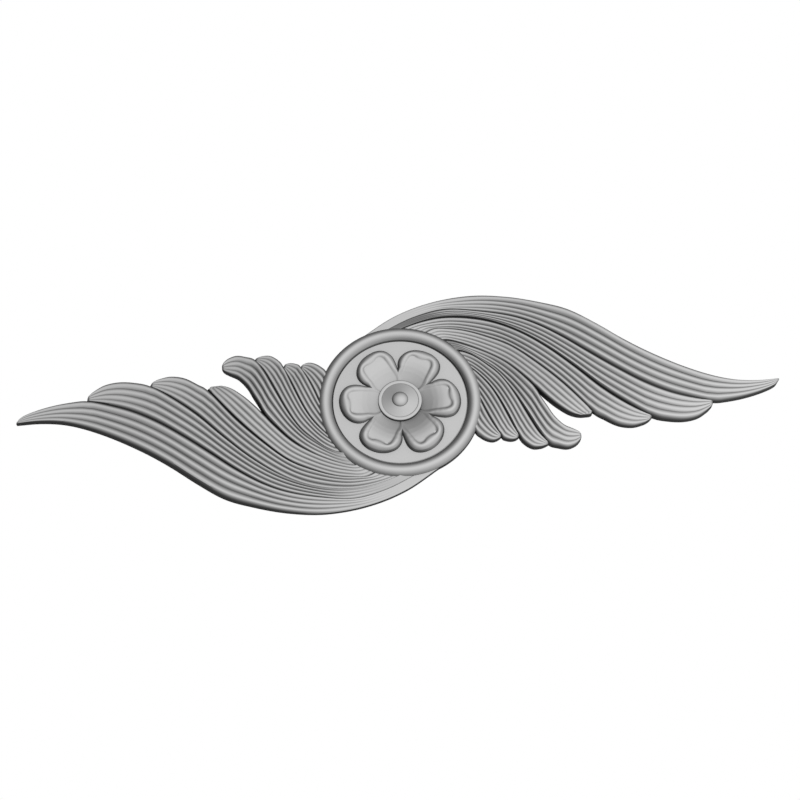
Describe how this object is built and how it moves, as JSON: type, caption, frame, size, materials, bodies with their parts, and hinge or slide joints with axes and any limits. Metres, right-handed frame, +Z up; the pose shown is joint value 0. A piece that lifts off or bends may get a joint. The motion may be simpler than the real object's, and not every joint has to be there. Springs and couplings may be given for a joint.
{
  "type": "decorative onlay",
  "caption": "Flat-backed relief onlay: a petalled rosette in a round ring between two swept wings of reeded feathers, to be glued on a flat panel.",
  "frame": {"origin": "on the flat back, at the middle of the ring and flower", "axes": "+Z up and +X along the length of the wings, as the onlay is fixed on a wall or front; the relief looks along -Y, and the flat back looks along +Y"},
  "size_m": [0.3, 0.0049, 0.09],
  "materials": {
    "matte_grey": "hard casting resin, matte neutral grey right through, with a thin dark glaze wiped off the raised forms and left on the steep sides and in the grooves"
  },
  "bodies": {
    "root": {"winged_rosette": "matte_grey"}
  },
  "joints": []
}
